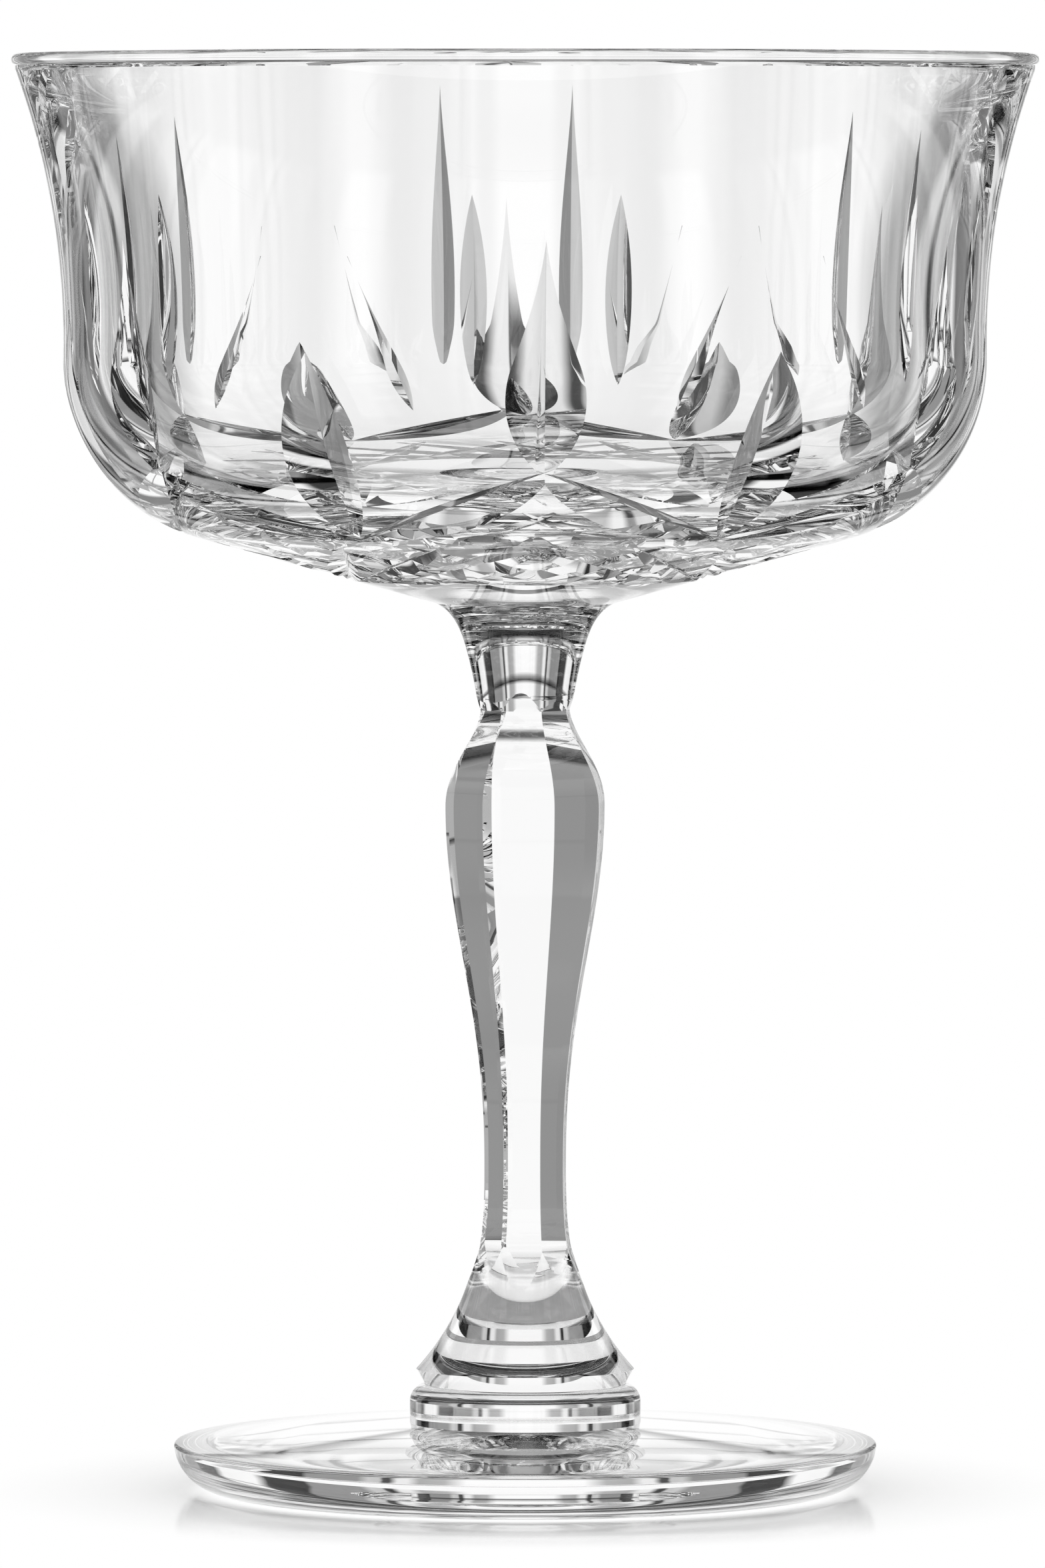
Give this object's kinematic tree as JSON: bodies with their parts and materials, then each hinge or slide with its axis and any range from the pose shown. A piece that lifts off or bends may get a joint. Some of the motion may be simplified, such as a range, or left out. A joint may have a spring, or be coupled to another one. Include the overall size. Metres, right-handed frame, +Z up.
{
  "type": "coupe glass",
  "caption": "Footed coupe glass in clear crystal: wide shallow bowl with flared rim and cut leaf and diamond pattern, faceted baluster stem, raised boss and round foot",
  "frame": {"origin": "middle of the ring that the foot rests on, at the lowest point of the glass", "axes": "+Z up along the stem, through the middle of the foot and bowl; -Y towards the front of the picture, where one tall leaf of the pattern faces; +X to the right"},
  "size_m": [0.095, 0.095, 0.133],
  "materials": {
    "foot_crystal": "fire-polished clear crystal",
    "stem_crystal": "fire-polished clear crystal",
    "bowl_crystal": "fire-polished clear crystal, polished cuts"
  },
  "bodies": {
    "root": {"foot": "foot_crystal", "stem": "stem_crystal", "bowl": "bowl_crystal"}
  },
  "joints": []
}
